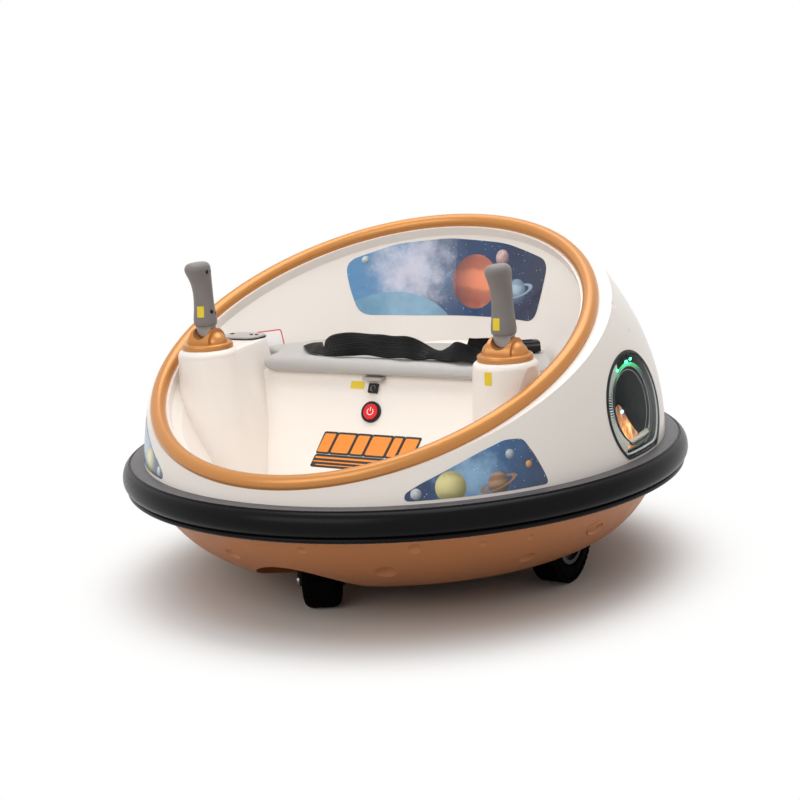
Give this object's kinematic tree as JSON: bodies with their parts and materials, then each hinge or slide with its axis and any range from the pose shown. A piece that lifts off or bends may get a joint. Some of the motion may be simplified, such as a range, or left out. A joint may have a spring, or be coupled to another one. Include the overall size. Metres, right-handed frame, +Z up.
{
  "type": "ride-on bumper car",
  "caption": "Round battery-driven toddler bumper car: cream shell with tilted gold rim, black bumper ring, copper hull, two levers, lap belt, drive wheels and casters.",
  "frame": {"origin": "on the floor under the centre of the bumper ring", "axes": "+Z up, -Y is the front that the rider faces, +X is the rider's left"},
  "size_m": [0.7202, 0.7202, 0.4323],
  "materials": {
    "cream_shell": "gloss cream moulding",
    "gold_plastic": "satin metallic gold paint",
    "copper_plastic": "satin metallic copper",
    "black_rubber": "satin black soft PVC",
    "black_plastic": "matt black",
    "grey_plastic": "matt grey",
    "grey_pad": "grey vinyl pad",
    "webbing": "woven black webbing",
    "red_plastic": "gloss red",
    "clear_lens": "clear lens",
    "lamp_grey": "dark reflector",
    "tyre_black": "hard black tyre",
    "steel": "zinc plated",
    "battery_grey": "battery case"
  },
  "bodies": {
    "body": {"battery": "battery_grey", "belt_buckle": "black_plastic", "belt_left": "webbing", "belt_right": "webbing", "bumper_ring": "black_rubber", "caster_mount_front": "black_plastic", "caster_mount_rear": "black_plastic", "charge_socket": "black_plastic", "control_panel": "grey_plastic", "gearbox_left": "black_plastic", "gearbox_right": "black_plastic", "hull_lower": "copper_plastic", "lamp_bezel_left": "black_plastic", "lamp_bezel_right": "black_plastic", "lamp_bowl_left": "lamp_grey", "lamp_bowl_right": "lamp_grey", "lamp_lens_left": "clear_lens", "lamp_lens_right": "clear_lens", "lever_base_left": "gold_plastic", "lever_base_right": "gold_plastic", "power_bezel": "black_plastic", "power_button": "red_plastic", "rim_front": "gold_plastic", "rim_rear": "gold_plastic", "seat_latch": "grey_plastic", "seat_pad": "grey_pad", "shell_upper": "cream_shell", "tub": "cream_shell"},
    "caster_front": {"caster_axle_front": "steel", "caster_fork_front": "black_plastic"},
    "caster_rear": {"caster_axle_rear": "steel", "caster_fork_rear": "black_plastic"},
    "caster_roller_front": {"caster_wheel_front": "black_plastic"},
    "caster_roller_rear": {"caster_wheel_rear": "black_plastic"},
    "drive_wheel_left": {"drive_hub_left": "grey_plastic", "drive_tyre_left": "tyre_black"},
    "drive_wheel_right": {"drive_hub_right": "grey_plastic", "drive_tyre_right": "tyre_black"},
    "lever_left": {"lever_foot_left": "grey_plastic", "lever_grip_left": "grey_plastic"},
    "lever_right": {"lever_foot_right": "grey_plastic", "lever_grip_right": "grey_plastic"}
  },
  "joints": [
    {"name": "caster_front_swivel", "type": "hinge", "parent": "body", "child": "caster_front", "pos_m": [0, -0.215, 0.08], "axis": [0, 0, 1], "continuous": true},
    {"name": "caster_front_roll", "type": "hinge", "parent": "caster_front", "child": "caster_roller_front", "pos_m": [-0.00976, -0.19584, 0.035], "axis": [0.891, 0.454, 0], "continuous": true},
    {"name": "caster_rear_swivel", "type": "hinge", "parent": "body", "child": "caster_rear", "pos_m": [0, 0.215, 0.08], "axis": [0, 0, 1], "continuous": true},
    {"name": "caster_rear_roll", "type": "hinge", "parent": "caster_rear", "child": "caster_roller_rear", "pos_m": [0.00447, 0.23603, 0.035], "axis": [0.9781, -0.2079, 0], "continuous": true},
    {"name": "drive_left_roll", "type": "hinge", "parent": "body", "child": "drive_wheel_left", "pos_m": [0.221, -0.01, 0.059], "axis": [1, 0, 0], "continuous": true},
    {"name": "drive_right_roll", "type": "hinge", "parent": "body", "child": "drive_wheel_right", "pos_m": [-0.221, -0.01, 0.059], "axis": [1, 0, 0], "continuous": true},
    {"name": "lever_left_tilt", "type": "hinge", "parent": "body", "child": "lever_left", "pos_m": [0.212, -0.118, 0.317], "axis": [1, 0, 0], "range_deg": [-15, 15], "stiffness_Nm_per_rad": 0.6},
    {"name": "lever_right_tilt", "type": "hinge", "parent": "body", "child": "lever_right", "pos_m": [-0.212, -0.118, 0.317], "axis": [1, 0, 0], "range_deg": [-15, 15], "stiffness_Nm_per_rad": 0.6}
  ]
}
